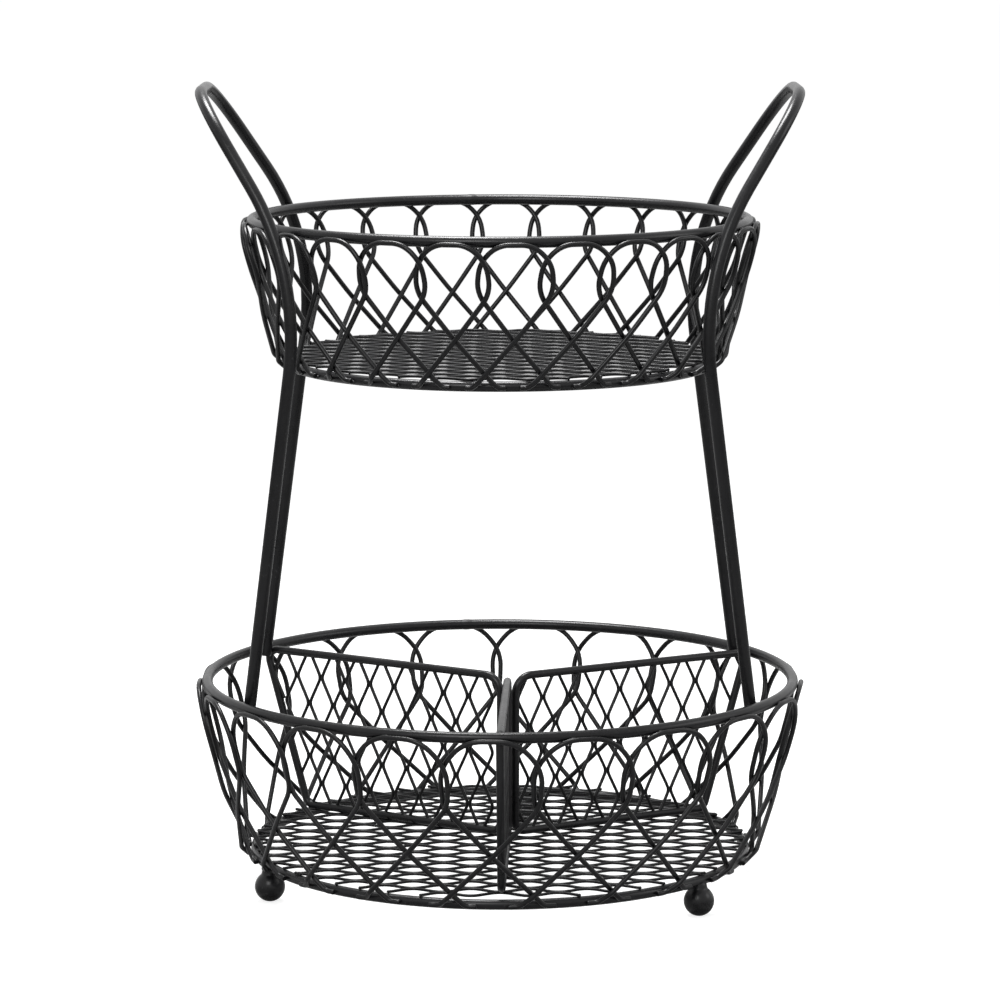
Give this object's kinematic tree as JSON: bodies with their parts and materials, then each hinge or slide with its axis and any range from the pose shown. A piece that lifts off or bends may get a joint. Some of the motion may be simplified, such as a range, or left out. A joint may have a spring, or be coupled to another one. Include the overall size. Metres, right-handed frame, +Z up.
{
  "type": "tiered wire basket",
  "caption": "Tiered round wire basket: a divided lower basket and a smaller upper one, joined by bent rods that rise as handles, on ball feet.",
  "frame": {"origin": "on the table under the middle of the baskets", "axes": "+Z up through both baskets, +X towards the right handle, -Y towards the front"},
  "size_m": [0.3064, 0.3072, 0.4014],
  "materials": {
    "ring_coat": "satin black powder coat on steel wire rings and frames",
    "loop_coat": "satin black powder coat on thin bent steel wire",
    "mesh_coat": "satin black powder coat on steel wire mesh",
    "rod_coat": "satin black powder coat on a steel rod",
    "foot_coat": "satin black powder coat on steel balls"
  },
  "bodies": {
    "root": {"lower_rim": "ring_coat", "lower_base_ring": "ring_coat", "lower_loops_front": "loop_coat", "lower_loops_right": "loop_coat", "lower_loops_back": "loop_coat", "lower_loops_left": "loop_coat", "lower_floor_mesh": "mesh_coat", "upper_rim": "ring_coat", "upper_base_ring": "ring_coat", "upper_loops_front": "loop_coat", "upper_loops_right": "loop_coat", "upper_loops_back": "loop_coat", "upper_loops_left": "loop_coat", "upper_floor_mesh": "mesh_coat", "divider_right_frame": "ring_coat", "divider_right_mesh": "mesh_coat", "divider_left_frame": "ring_coat", "divider_left_mesh": "mesh_coat", "divider_front_frame": "ring_coat", "divider_front_mesh": "mesh_coat", "handle_left": "rod_coat", "handle_right": "rod_coat", "foot_right": "foot_coat", "foot_back": "foot_coat", "foot_left": "foot_coat"}
  },
  "joints": []
}
